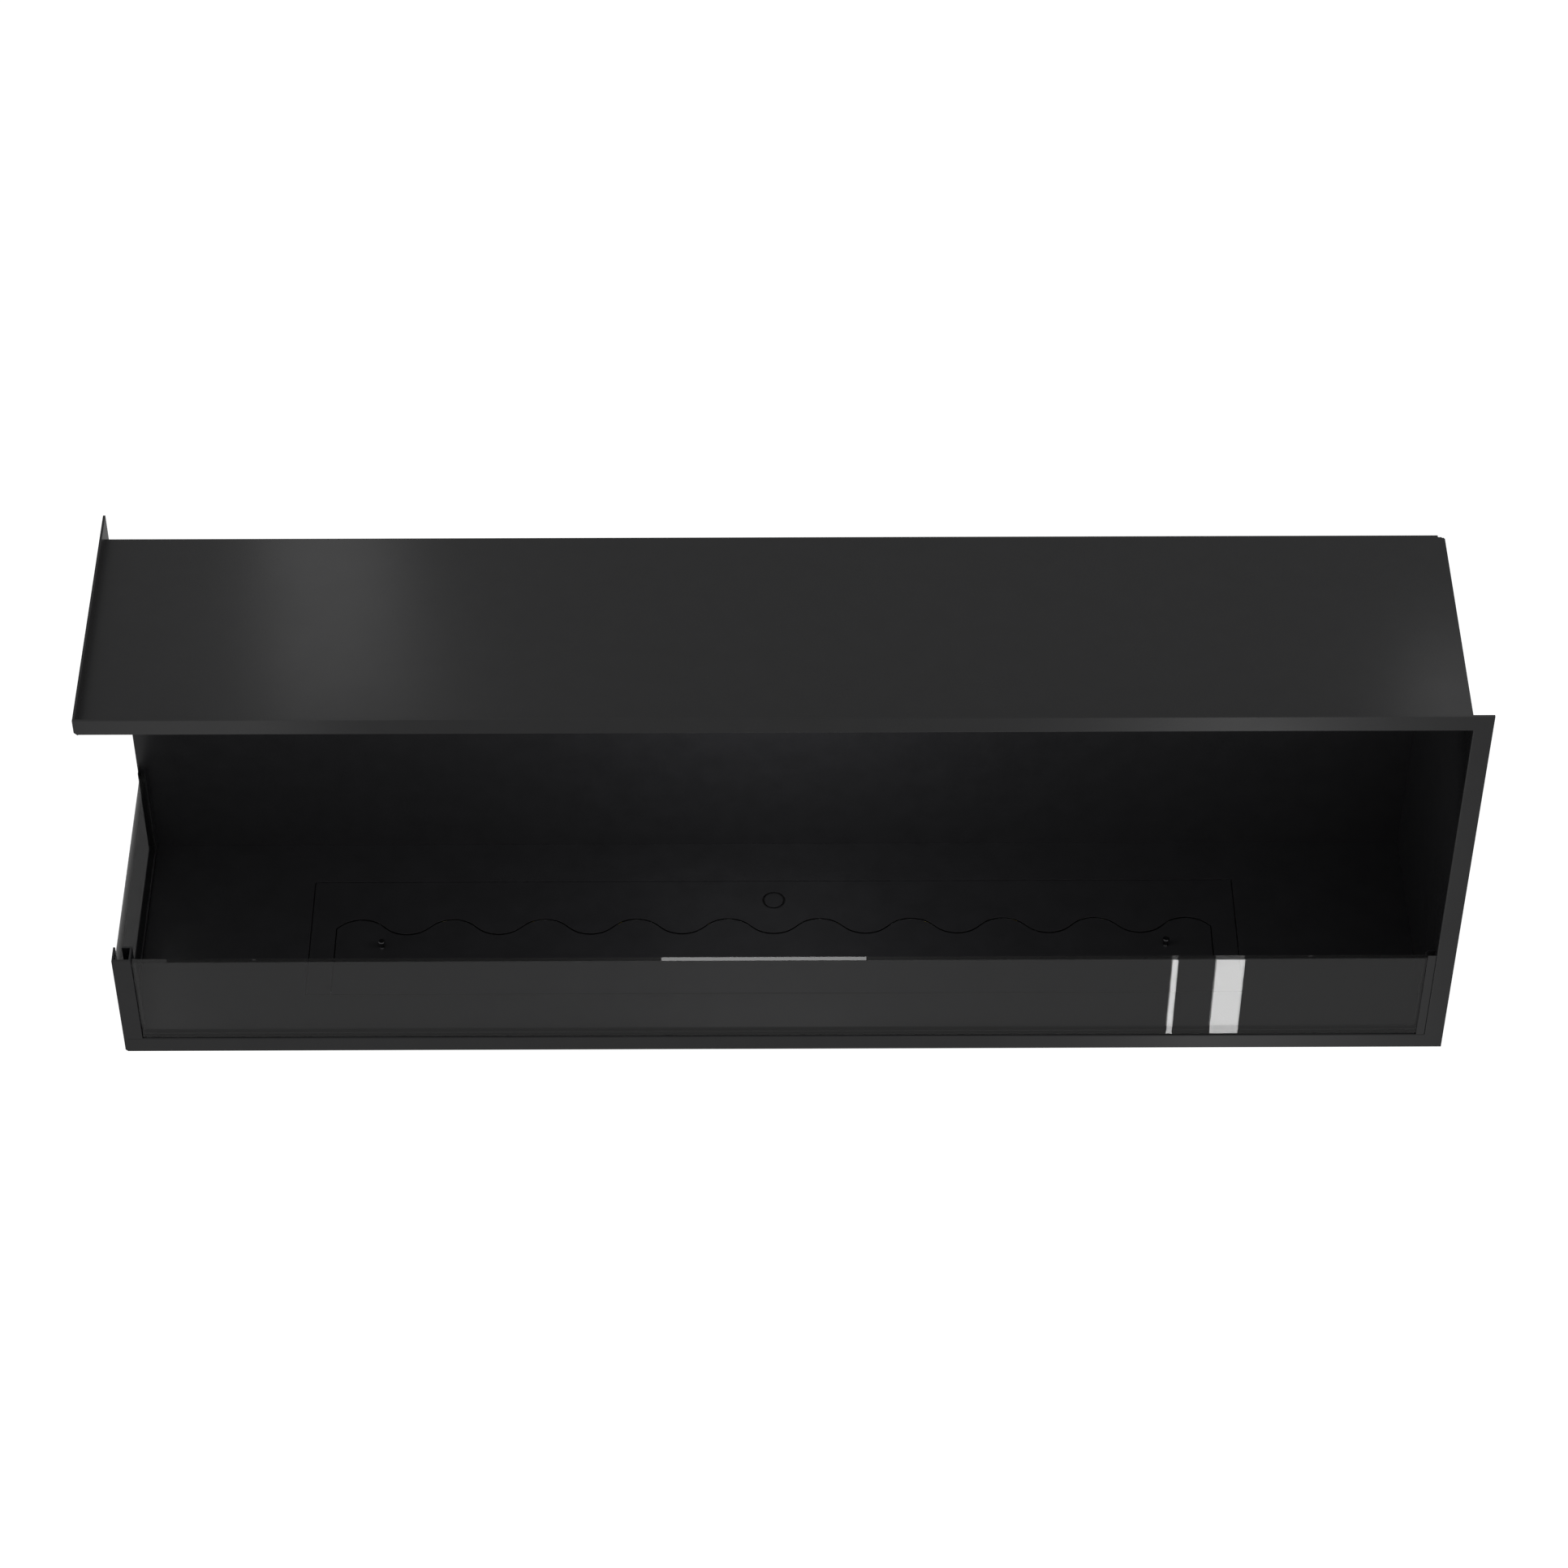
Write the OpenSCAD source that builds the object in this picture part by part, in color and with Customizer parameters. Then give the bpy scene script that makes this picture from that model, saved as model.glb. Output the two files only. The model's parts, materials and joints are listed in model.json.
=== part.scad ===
// Built-in corner fireplace with a water-vapour burner: a black sheet-steel casing, open at the front
// and at the left side, with a flange frame, two low glass panes and a burner let into its floor.
// The casing is drawn with X along the front, Y into the wall and Z up, from the lower left front
// corner of its flange. in_place() then moves everything to the origin, at the bottom centre.

/* [Casing] */
// Width over the front flange
casing_w = 1408; // [1300:1:1600]
// Depth over the side flange
casing_d = 301; // [290:1:340]
// Height over the flanges
casing_h = 500; // [450:1:600]
// Width of the flange strips
flange_w = 20; // [15:1:30]
// Thickness of the casing's sheet steel
sheet_t = 2.5; // [1.5:0.5:2.5]
// Thickness of the separate floor plate, and of the burner plates that lie flush in it
floor_t = 2; // [2:0.5:3]

/* [Glass] */
// Thickness of the two panes
glass_t = 6; // [4:1:6]
// Height of the upper edge of the panes
glass_top = 140.2; // [120:0.1:200]
// Height of the upper end of the corner post
post_top = 144; // [130:0.5:210]
// Wall thickness of the glass profiles
profile_t = 0.8; // [0.6:0.1:0.8]
// Depth of the legs that hold the ends of the panes
profile_leg = 9; // [8:1:12]

/* [Burner] */
// Length of the burner plates
burner_l = 1008; // [980:1:1030]
// Depth of the burner plates
burner_w = 163.4; // [160:0.1:170]
// Depth of the burner housing below its rim
housing_h = 86.5; // [86.5:0.5:100]
// Middle of the burner along the front
burner_x = 694; // [660:1:740]
// Front edge of the burner plates
burner_y = 60.6; // [55:0.1:65]
// Length of the lift-off cover
cover_l = 953; // [940:1:960]
// Wave length of the mist slot
wave_l = 100; // [80:1:120]
// Height of each wave from its middle line
wave_a = 11.5; // [5:0.1:11.5]
// Width of the mist slot
slot_w = 2; // [1:0.1:3]
// Diameter of the ring engraved in the rear plate
ring_d = 25; // [15:1:30]

/* [Fans] */
// Side of the square fan frame
fan_side = 30; // [30:1:32]
// Depth of the fan frame
fan_t = 10; // [10:1:12]
// Number of impeller blades
blades = 7; // [5:1:9]
// Distance between neighbouring fans
fan_pitch = 300; // [200:10:320]

/* [Hidden] */

eps = 0.01;
// Casing: inner faces of its walls, and the outer radius of each bend
wall_x = casing_w - flange_w;
back_y = casing_d - flange_w;
top_z = casing_h - flange_w;
bend_r = 1.2;
corner_relief = 4;
// Base sheet, bent down along its front and left edges, and the floor plate on it
base_z = flange_w;
floor_z = base_z + floor_t;
// Glass: how far the outer faces of the two panes lie behind the flange, and the profiles round them
front_set = 1;
side_set = 2.6;
front_in = front_set + glass_t;
side_in = side_set + glass_t;
rail_gap = 0.2;
rail_y = front_in + rail_gap + profile_t;
rail_x = side_in + rail_gap + profile_t;
gasket_t = 0.3;
glass_z0 = base_z + profile_t + gasket_t;
rail_h = 7.5;
channel_top = 145.6;
rear_channel_top = 147;
post_w = 20;
post_d = 21;
post_wall = 2.2;
// Burner plates, flush with the floor, and the steel under them
plate_t = floor_t;
plate_z = base_z;
seam = 1.2;
rim_t = 1.5;
rim_z = plate_z - rim_t;
ledge_t = 3;
ledge_in = 8;
ledge_out = 12;
screw_r = 1.6;
screw_head_r = 2.9;
burner_x0 = burner_x - burner_l / 2;
burner_x1 = burner_x + burner_l / 2;
burner_y1 = burner_y + burner_w;
wave_y = 157.6;
cover_x0 = burner_x - cover_l / 2;
cover_x1 = burner_x + cover_l / 2;
knob_dx = 426;
knob_y = 128.5;
ring_y = 196;
// Burner housing: outer faces and bottom
box_x0 = burner_x - 496;
box_x1 = burner_x + 496;
box_y0 = burner_y + 8.4;
box_y1 = burner_y1 - 8;
box_t = 1.5;
box_z0 = rim_z - housing_h;
bay_z = box_z0 + box_t;
// Mist trough and the hood on it
trough_x0 = burner_x - 454;
trough_x1 = burner_x + 454;
trough_y0 = 127;
trough_y1 = 189;
trough_z1 = -6;
tub_t = 2.5;
hood_half = 16;
hood_top = plate_z;
hood_knee = 8;
maker_pitch = 180;
maker_h = 8;
// Level sensor
stem_x = burner_x + 410;
stem_r = 2;
float_h = 14;
float_travel = 14;
// Water tank in the front bay
tank_x0 = burner_x - 462;
tank_x1 = burner_x - 42;
tank_y0 = 73;
tank_y1 = 123;
tank_z1 = -2;
neck_x = burner_x - 394;
neck_y = 98;
neck_r = 16;
neck_wall = 3;
neck_h = 5;
feed_z = bay_z + 8;
feed_r = 4;
// Fans on the rear face of the trough
fan_z = -24;
fan_y = trough_y1;
fan_bore = fan_side / 2 - 1;
impeller_r = fan_bore - 0.7;
hub_r = 6.5;
fan_shaft_r = 1;
// Mains inlet and power rocker in the right end of the housing
inlet_y = 98;
inlet_z = -32;
rocker_y = 172;
rocker_z = -32;
rocker_tilt = 7;
// Back wall fixing holes
fixing_r = 2.75;
fixing_dx = 1208;
fixing_dz = 200;
fixing_z = 350;

black = "#1b1b1c";
black_soft = "#242425";
plastic = "#2b2d30";
water_white = "#cfd3d4";
steel = "#b9bcc0";

// Block between two opposite corners
module block(lo, hi)
    translate(lo)
        cube(hi - lo);

// Moves the casing's frame so that the origin is the bottom centre of the whole object
module in_place()
    translate([-casing_w / 2, -casing_d / 2, -box_z0])
        children();

// What a bend takes off the square outer edge of two sheets, along +Z
module bend_cut(length)
    linear_extrude(length)
        difference() {
            translate([-1, -1])
                square(bend_r + 1);
            translate([bend_r, bend_r])
                circle(r = bend_r, $fn = 48);
        }

// The same along +X for sheets that go to +Y and +Z, and along +Y for sheets that go to +X and +Z
module bend_cut_x(length)
    rotate([90, 0, 90])
        bend_cut(length);

module bend_cut_y(length)
    translate([0, length, 0])
        rotate([90, 0, 0])
            bend_cut(length);

// Top sheet with the front and the left flange strip bent up from it
module top_panel()
    color(black)
        in_place()
            difference() {
                union() {
                    block([0, 0, top_z], [wall_x, back_y + sheet_t, top_z + sheet_t]);
                    block([0, 0, top_z], [wall_x, sheet_t, casing_h]);
                    block([0, 0, top_z], [sheet_t, casing_d, casing_h]);
                }
                translate([corner_relief, 0, top_z])
                    bend_cut_x(wall_x + 1 - corner_relief);
                translate([0, corner_relief, top_z])
                    bend_cut_y(casing_d + 1 - corner_relief);
                // Relief of the corner where the two bends meet
                translate([0, -1, top_z])
                    rotate([0, 45, 0])
                        translate([-2.5, 0, -2.5])
                            cube([5, corner_relief + 1, 5]);
                rear_corner_relief();
            }

// Bend relief at the rear right corner of the top
module rear_corner_relief()
    block([wall_x + sheet_t - 7, back_y + sheet_t - 5, top_z - 1],
          [wall_x + sheet_t + 1, back_y + sheet_t + 1, top_z + sheet_t + 1]);

// Rear wall with the upright flange strip bent back from its left edge, and four fixing holes
module back_panel()
    color(black)
        in_place()
            difference() {
                union() {
                    block([0, back_y, base_z], [wall_x, back_y + sheet_t, top_z]);
                    block([0, back_y, base_z], [sheet_t, casing_d, top_z]);
                }
                translate([0, back_y, base_z - 1])
                    bend_cut(top_z - base_z + 2);
                for (x = [-1, 1], z = [-1, 1])
                    translate([casing_w / 2 + x * fixing_dx / 2, back_y - 1, fixing_z + z * fixing_dz / 2])
                        rotate([-90, 0, 0])
                            cylinder(r = fixing_r, h = sheet_t + 2, $fn = 32);
            }

// Right wall with the right front flange strip bent out from it
module right_panel()
    color(black)
        in_place()
            difference() {
                union() {
                    block([wall_x, 0, base_z - sheet_t], [wall_x + sheet_t, back_y + sheet_t, top_z + sheet_t]);
                    block([wall_x, 0, 0], [casing_w, sheet_t, casing_h]);
                }
                translate([wall_x, 0, base_z])
                    bend_cut(top_z - base_z);
                rear_corner_relief();
            }

// Base sheet with the burner cut-out and the two lower flange strips bent down from it
module base_pan()
    color(black)
        in_place()
            difference() {
                union() {
                    block([0, 0, base_z - sheet_t], [wall_x, back_y + sheet_t, base_z]);
                    block([0, 0, 0], [wall_x, sheet_t, base_z]);
                    block([0, 0, 0], [sheet_t, casing_d, base_z]);
                }
                burner_cutout();
                translate([corner_relief, 0, base_z])
                    mirror([0, 0, 1])
                        bend_cut_x(wall_x + 1 - corner_relief);
                translate([0, corner_relief, base_z])
                    mirror([0, 0, 1])
                        bend_cut_y(casing_d + 1 - corner_relief);
                // Relief of the lower corner
                translate([0, -1, 0])
                    rotate([0, 45, 0])
                        translate([-1.8, 0, -1.8])
                            cube([3.6, sheet_t + 2, 3.6]);
            }

module burner_cutout()
    block([burner_x0 - seam, burner_y - seam, 0], [burner_x1 + seam, burner_y1 + seam, floor_z + 1]);

// Floor of the firebox, laid on the base sheet behind the glass rails
module floor_plate()
    color(black)
        in_place()
            difference() {
                block([rail_x + 0.2, rail_y + 0.2, base_z], [wall_x, back_y, floor_z]);
                block([0, 0, base_z - 1], [post_w + 0.3, post_d + 0.3, floor_z + 1]);
                burner_cutout();
            }

// Front left post: a square section, open at the rear left for the side pane, with a leg behind the front one
module corner_post()
    color(black)
        in_place()
            union() {
                block([0, 0, base_z], [post_w, sheet_t, post_top]);
                block([0, 0, base_z], [post_wall, post_w, post_top]);
                block([post_w - post_wall, 0, base_z], [post_w, post_d, post_top]);
                block([side_in + 0.4, post_d - post_wall, base_z], [post_w, post_d, post_top]);
                block([post_w - 1, front_in + rail_gap, base_z + 16], [post_w + 3.6, rail_y, glass_top - 0.5]);
            }

module front_glass()
    color("#3a3d40", 0.5)
        in_place()
            block([post_w + 0.5, front_set, glass_z0], [wall_x - profile_t - 0.5, front_in, glass_top]);

module side_glass()
    color("#3a3d40", 0.5)
        in_place()
            block([side_set, sheet_t + 0.5, glass_z0], [side_in, back_y - profile_t - 0.7, glass_top]);

// Half section of a bent U: inner width w, one leg of the length leg and its share of the web, outer bend rounded
module half_u(w, leg)
    difference() {
        square([w / 2 + profile_t + eps, leg]);
        translate([profile_t, profile_t])
            square([w, leg]);
        difference() {
            translate([-1, -1])
                square(1 + profile_t);
            translate([profile_t, profile_t])
                circle(r = profile_t, $fn = 32);
        }
    }

// U section, web along +X from the origin, legs towards +Y
module u_section(w, leg)
    union() {
        half_u(w, leg);
        translate([w + 2 * profile_t, 0])
            mirror([1, 0])
                half_u(w, leg);
    }

// Upright profile on the right wall that holds the right end of the front pane; its rear leg is wider higher up
module right_glass_channel()
    color(black_soft)
        in_place()
            union() {
                translate([wall_x, front_set - rail_gap - profile_t, base_z])
                    linear_extrude(channel_top - base_z)
                        rotate([0, 0, 90])
                            u_section(glass_t + 2 * rail_gap, profile_leg);
                block([wall_x - profile_leg - 2, front_in + rail_gap, base_z + 16],
                      [wall_x - profile_leg + 1, rail_y, channel_top - 2]);
            }

// Upright profile on the rear wall that holds the rear end of the side pane
module rear_glass_channel()
    color(black_soft)
        in_place()
            translate([side_set - rail_gap - profile_t, back_y, base_z])
                linear_extrude(rear_channel_top - base_z)
                    mirror([0, 1])
                        u_section(glass_t + 2 * rail_gap, profile_leg + 1);

// Angle behind and under the front pane
module front_glass_rail()
    color(black_soft)
        in_place()
            union() {
                block([post_w + 0.5, bend_r + 0.1, base_z], [wall_x - profile_leg - 1, rail_y, base_z + profile_t]);
                block([post_w + 0.5, rail_y - profile_t, base_z], [wall_x - profile_leg - 1, rail_y, base_z + rail_h]);
            }

// Angle behind and under the side pane
module side_glass_rail()
    color(black_soft)
        in_place()
            union() {
                block([side_set, post_d + 1, base_z], [rail_x, back_y - profile_leg - 2, base_z + profile_t]);
                block([rail_x - profile_t, post_d + 1, base_z], [rail_x, back_y - profile_leg - 2, base_z + rail_h]);
            }

// Rubber strips that the panes stand on
module front_glass_gasket()
    color("black")
        in_place()
            block([post_w + 6, bend_r + 0.3, base_z + profile_t],
                  [wall_x - profile_leg - 2, front_in - 0.2, glass_z0]);

module side_glass_gasket()
    color("black")
        in_place()
            block([side_set + 0.2, post_d + 6, base_z + profile_t],
                  [side_in - 0.2, back_y - profile_leg - 4, glass_z0]);

// The wavy edge: points from the left end of the cover to the right end, moved back by shift
function wave_shape(a) = cos(a) - 0.07 * cos(3 * a) + 0.016 * cos(5 * a);
function wave_point(x, shift) = [x, wave_y + shift - wave_a * wave_shape(360 * (x - burner_x) / wave_l)];
wave_step = 4;
function wave_edge(x0, x1, shift) = [
    for (i = [0 : round((x1 - x0) / wave_step)])
        wave_point(x0 + (x1 - x0) * i / round((x1 - x0) / wave_step), shift)
];

// Fixed plate behind the slot, with an arm at each end of the cover, and an engraved ring
module rear_plate()
    color(black)
        in_place()
            difference() {
                block([burner_x0, burner_y, plate_z], [burner_x1, burner_y1, floor_z]);
                translate([0, 0, plate_z - 1])
                    linear_extrude(plate_t + 2)
                        polygon(concat(
                            [[cover_x1 + seam, burner_y - 1], [cover_x0 - seam, burner_y - 1]],
                            wave_edge(cover_x0 - seam, cover_x1 + seam, slot_w / 2)
                        ));
                translate([burner_x, ring_y, floor_z - 1])
                    difference() {
                        cylinder(d = ring_d, h = 2, $fn = 72);
                        translate([0, 0, -1])
                            cylinder(d = ring_d - 4.4, h = 4, $fn = 72);
                    }
            }

// Lift-off cover in front of the slot
module front_cover()
    color(black)
        in_place()
            difference() {
                translate([0, 0, plate_z])
                    linear_extrude(plate_t)
                        polygon(concat(
                            [[cover_x1, burner_y], [cover_x0, burner_y]],
                            wave_edge(cover_x0, cover_x1, -slot_w / 2)
                        ));
                for (side = [-1, 1])
                    translate([burner_x + side * knob_dx, knob_y, plate_z - 1])
                        cylinder(r = 2, h = plate_t + 2, $fn = 32);
            }

// Two turned knobs that the cover is lifted by
module cover_knobs()
    color(steel)
        in_place()
            for (side = [-1, 1])
                translate([burner_x + side * knob_dx, knob_y, floor_z])
                    rotate_extrude($fn = 48)
                        polygon([[0, -plate_t + 0.2], [1.95, -plate_t + 0.2], [1.95, 0], [3, 0], [2.4, 1.2], [2.4, 6],
                                 [3.7, 7.4], [3.7, 9.2], [2.9, 10], [0, 10]]);

// Four rebated bars under the edge of the cut-out that carry the rim of the housing, tapped for its screws
module ledge_bar(lo, hi, inner_lo, inner_hi) {
    block(concat(lo, rim_z - ledge_t), concat(hi, base_z - sheet_t));
    block(concat(inner_lo, rim_z - ledge_t), concat(inner_hi, base_z - sheet_t));
    intersection() {
        block(concat(inner_lo, rim_z - ledge_t), concat(inner_hi, rim_z));
        block([burner_x0 - seam + 0.1, burner_y - seam + 0.1, 0], [burner_x1 + seam - 0.1, burner_y1 + seam - 0.1, floor_z]);
    }
}

module burner_ledges() {
    x0 = burner_x0 - seam;
    x1 = burner_x1 + seam;
    y0 = burner_y - seam;
    y1 = burner_y1 + seam;
    color(black_soft)
        in_place()
            difference() {
                union() {
                    ledge_bar([x0 - ledge_out, y0 - ledge_out], [x1 + ledge_out, y0],
                              [x0 + ledge_in, y0 - 1], [x1 - ledge_in, y0 + ledge_in]);
                    ledge_bar([x0 - ledge_out, y1], [x1 + ledge_out, y1 + ledge_out],
                              [x0 + ledge_in, y1 - ledge_in], [x1 - ledge_in, y1 + 1]);
                    ledge_bar([x0 - ledge_out, y0 + 0.5], [x0, y1 - 0.5],
                              [x0 - 1, y0 + 0.5], [x0 + ledge_in - 0.5, y1 - 0.5]);
                    ledge_bar([x1, y0 + 0.5], [x1 + ledge_out, y1 - 0.5],
                              [x1 - ledge_in + 0.5, y0 + 0.5], [x1 + 1, y1 - 0.5]);
                }
                at_rim_screws()
                    translate([0, 0, rim_z - ledge_t - 1])
                        cylinder(r = screw_r + 0.05, h = ledge_t + 2, $fn = 32);
            }
}

// Places children at the eight rim screws
module at_rim_screws()
    for (dx = [-480, -160, 160, 480], y = [burner_y + 4, burner_y1 - 4])
        translate([burner_x + dx, y, 0])
            children();

// Sheet-metal box with a rim that rests on the ledges; air slots behind the fans, openings at its right end
module burner_housing()
    color(black_soft)
        in_place()
            difference() {
                union() {
                    block([box_x0, box_y0, box_z0], [box_x1, box_y1, rim_z + eps]);
                    block([burner_x0 + 0.5, burner_y + 0.4, rim_z], [burner_x1 - 0.5, burner_y1 - 0.4, plate_z]);
                }
                block([box_x0 + box_t, box_y0 + box_t, bay_z], [box_x1 - box_t, box_y1 - box_t, plate_z + 1]);
                for (k = [-1, 0, 1], s = [-2 : 2])
                    block([burner_x + k * fan_pitch + s * 5.5 - 1.5, box_y1 - 3, fan_z - 12],
                          [burner_x + k * fan_pitch + s * 5.5 + 1.5, box_y1 + 1, fan_z + 12]);
                block([box_x1 - 3, inlet_y - 14, inlet_z - 11], [box_x1 + 1, inlet_y + 14, inlet_z + 11]);
                block([box_x1 - 3, rocker_y - 6.5, rocker_z - 10], [box_x1 + 1, rocker_y + 6.5, rocker_z + 10]);
                translate([box_x1 - 3, 140, inlet_z])
                    rotate([0, 90, 0])
                        cylinder(r = 2.1, h = 5, $fn = 32);
                at_rim_screws() {
                    translate([0, 0, rim_z - 1])
                        cylinder(r = screw_r + 0.2, h = rim_t + 2, $fn = 32);
                    translate([0, 0, rim_z + 0.3])
                        cylinder(r1 = screw_r + 0.2, r2 = screw_head_r + 0.2, h = rim_t - 0.29, $fn = 32);
                }
            }

// Countersunk screws of the rim, flush under the plates
module burner_screws()
    color(steel)
        in_place()
            at_rim_screws()
                union() {
                    translate([0, 0, rim_z - 6])
                        cylinder(r = screw_r, h = 6 + rim_t - 0.1, $fn = 32);
                    translate([0, 0, rim_z + 0.4])
                        cylinder(r1 = screw_r, r2 = screw_head_r, h = rim_t - 0.5, $fn = 32);
                }

// Tub that holds the water and the mist makers, with three fan ports and the feed port
module mist_trough()
    color(plastic)
        in_place()
            difference() {
                block([trough_x0, trough_y0, bay_z], [trough_x1, trough_y1, trough_z1]);
                block([trough_x0 + tub_t, trough_y0 + tub_t, bay_z + tub_t], [trough_x1 - tub_t, trough_y1 - tub_t, 0]);
                for (k = [-1, 0, 1])
                    translate([burner_x + k * fan_pitch, trough_y1 - tub_t - 1, fan_z])
                        rotate([-90, 0, 0])
                            cylinder(r = fan_bore - 1, h = tub_t + 2, $fn = 64);
                translate([neck_x, trough_y0 - 1, feed_z])
                    rotate([-90, 0, 0])
                        cylinder(r = feed_r + 0.05, h = tub_t + 2, $fn = 32);
            }

// Hood that narrows from the trough to the nozzle under the slot
hood_half_d = (trough_y1 - trough_y0) / 2;
function hood_section(inset, z0, z1) = [
    [-hood_half_d + inset, z0], [hood_half_d - inset, z0],
    [hood_half_d - inset, trough_z1 + 2 - inset / 2],
    [hood_half - inset, hood_knee - inset / 2], [hood_half - inset, z1],
    [-hood_half + inset, z1], [-hood_half + inset, hood_knee - inset / 2],
    [-hood_half_d + inset, trough_z1 + 2 - inset / 2]
];
module hood_solid(inset, z0, z1)
    translate([trough_x0 + inset, trough_y0 + hood_half_d, 0])
        rotate([90, 0, 90])
            linear_extrude(trough_x1 - trough_x0 - 2 * inset)
                polygon(hood_section(inset, z0, z1));

module mist_hood()
    color(plastic)
        in_place()
            difference() {
                hood_solid(0, trough_z1, hood_top);
                hood_solid(tub_t, trough_z1 - 1, hood_top + 1);
            }

// Light boards on the two inner faces of the nozzle
board_t = 1.6;
board_x0 = trough_x0 + 20;
board_x1 = trough_x1 - 20;
nozzle_y0 = (trough_y0 + trough_y1) / 2 - hood_half + tub_t;
nozzle_y1 = (trough_y0 + trough_y1) / 2 + hood_half - tub_t;
led_pitch = 48;
leds = 18;
module led_boards()
    color("white")
        in_place() {
            block([board_x0, nozzle_y0, hood_knee + 1], [board_x1, nozzle_y0 + board_t, hood_top - 1]);
            block([board_x0, nozzle_y1 - board_t, hood_knee + 1], [board_x1, nozzle_y1, hood_top - 1]);
        }

module led_chips()
    color("#f4e27a")
        in_place()
            for (i = [0 : leds - 1]) {
                x = burner_x + (i - (leds - 1) / 2) * led_pitch;
                block([x - 2.5, nozzle_y0 + board_t, hood_top - 8], [x + 2.5, nozzle_y0 + board_t + 0.9, hood_top - 3]);
                block([x - 2.5, nozzle_y1 - board_t - 0.9, hood_top - 8], [x + 2.5, nozzle_y1 - board_t, hood_top - 3]);
            }

// Places children at the five mist makers, on the floor of the trough
module at_makers()
    for (k = [-2 : 2])
        translate([burner_x + k * maker_pitch, (trough_y0 + trough_y1) / 2, bay_z + tub_t])
            children();

module mist_makers()
    color(steel)
        in_place()
            at_makers()
                rotate_extrude($fn = 64)
                    polygon([[0, 0], [21, 0], [21, 4], [19, 6], [15, maker_h], [10.1, maker_h], [10.1, maker_h - 1.6],
                             [8, maker_h - 1.6], [8, maker_h - 4], [0, maker_h - 4]]);

module ceramic_discs()
    color("#c9a35b")
        in_place()
            at_makers()
                translate([0, 0, maker_h - 1.6])
                    cylinder(r = 10, h = 0.9, $fn = 64);

// Level sensor: a stem with two stops, and the float that slides between them
stem_h = 3 + float_h + float_travel + 3;
module level_stem()
    color(steel)
        in_place()
            translate([stem_x, (trough_y0 + trough_y1) / 2, bay_z + tub_t])
                union() {
                    cylinder(r = 5, h = 2.7, $fn = 32);
                    cylinder(r = stem_r, h = stem_h, $fn = 32);
                    translate([0, 0, stem_h - 2.7])
                        cylinder(r = 4, h = 2.7, $fn = 32);
                }

module level_float()
    color("white")
        in_place()
            translate([stem_x, (trough_y0 + trough_y1) / 2, bay_z + tub_t + 3])
                difference() {
                    cylinder(r = 9, h = float_h, $fn = 48);
                    translate([0, 0, -1])
                        cylinder(r = stem_r + 0.1, h = float_h + 2, $fn = 48);
                }

// Water tank with its filler neck
module water_tank()
    color(water_white)
        in_place()
            difference() {
                union() {
                    block([tank_x0, tank_y0, bay_z], [tank_x1, tank_y1, tank_z1]);
                    translate([neck_x, neck_y, tank_z1 - eps])
                        cylinder(r = neck_r + neck_wall, h = neck_h + eps, $fn = 64);
                }
                block([tank_x0 + tub_t, tank_y0 + tub_t, bay_z + tub_t], [tank_x1 - tub_t, tank_y1 - tub_t, tank_z1 - tub_t]);
                translate([neck_x, neck_y, tank_z1 - tub_t - 1])
                    cylinder(r = neck_r, h = neck_h + tub_t + 2, $fn = 64);
                translate([neck_x, tank_y1 - tub_t - 1, feed_z])
                    rotate([-90, 0, 0])
                        cylinder(r = feed_r + 0.05, h = tub_t + 2, $fn = 32);
            }

// Cap over the neck, with grip ribs
cap_gap = 0.4;
cap_r = neck_r + neck_wall + cap_gap + 2.2;
cap_z = tank_z1 + 0.5;
cap_h = 8;
ribs = 18;
module filler_cap()
    color("#2468a8")
        in_place()
            translate([neck_x, neck_y, cap_z])
                difference() {
                    union() {
                        cylinder(r = cap_r, h = cap_h, $fn = 64);
                        for (i = [0 : ribs - 1])
                            rotate([0, 0, 360 * i / ribs])
                                block([cap_r - 0.5, -0.8, 0], [cap_r + 0.9, 0.8, cap_h - 1]);
                    }
                    translate([0, 0, -1])
                        cylinder(r = neck_r + neck_wall + cap_gap, h = cap_h - 2 + 1, $fn = 64);
                }

module cap_seal()
    color("black")
        in_place()
            translate([neck_x, neck_y, cap_z + cap_h - 3.2])
                difference() {
                    cylinder(r = neck_r + neck_wall, h = 1.2, $fn = 64);
                    translate([0, 0, -1])
                        cylinder(r = neck_r + 0.5, h = 3.2, $fn = 64);
                }

// Tube that feeds the trough from the tank
module feed_tube()
    color("#d8d8d0")
        in_place()
            translate([neck_x, tank_y1 - tub_t - 3, feed_z])
                rotate([-90, 0, 0])
                    difference() {
                        cylinder(r = feed_r, h = trough_y0 - tank_y1 + 2 * tub_t + 6, $fn = 32);
                        translate([0, 0, -1])
                            cylinder(r = feed_r - 1.5, h = 40, $fn = 32);
                    }

// One axial fan: frame with struts and a bearing, drawn along +Z and turned to blow towards -Y
module at_fan(k)
    translate([burner_x + k * fan_pitch, fan_y + fan_t, fan_z])
        rotate([90, 0, 0])
            children();

module fan_frame(k)
    color("#1a1a1a")
        in_place()
            at_fan(k)
                union() {
                    difference() {
                        translate([-fan_side / 2, -fan_side / 2, 0])
                            cube([fan_side, fan_side, fan_t]);
                        translate([0, 0, -1])
                            cylinder(r = fan_bore, h = fan_t + 2, $fn = 64);
                        for (x = [-12, 12], y = [-12, 12])
                            translate([x, y, -1])
                                cylinder(r = 1.6, h = fan_t + 2, $fn = 24);
                    }
                    difference() {
                        union() {
                            cylinder(r = hub_r - 0.5, h = 1.6, $fn = 48);
                            for (a = [30, 150, 270])
                                rotate([0, 0, a])
                                    block([2, -1, 0], [fan_bore + 0.5, 1, 1.6]);
                        }
                        translate([0, 0, -1])
                            cylinder(r = fan_shaft_r + 0.05, h = 4, $fn = 32);
                    }
                }

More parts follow.
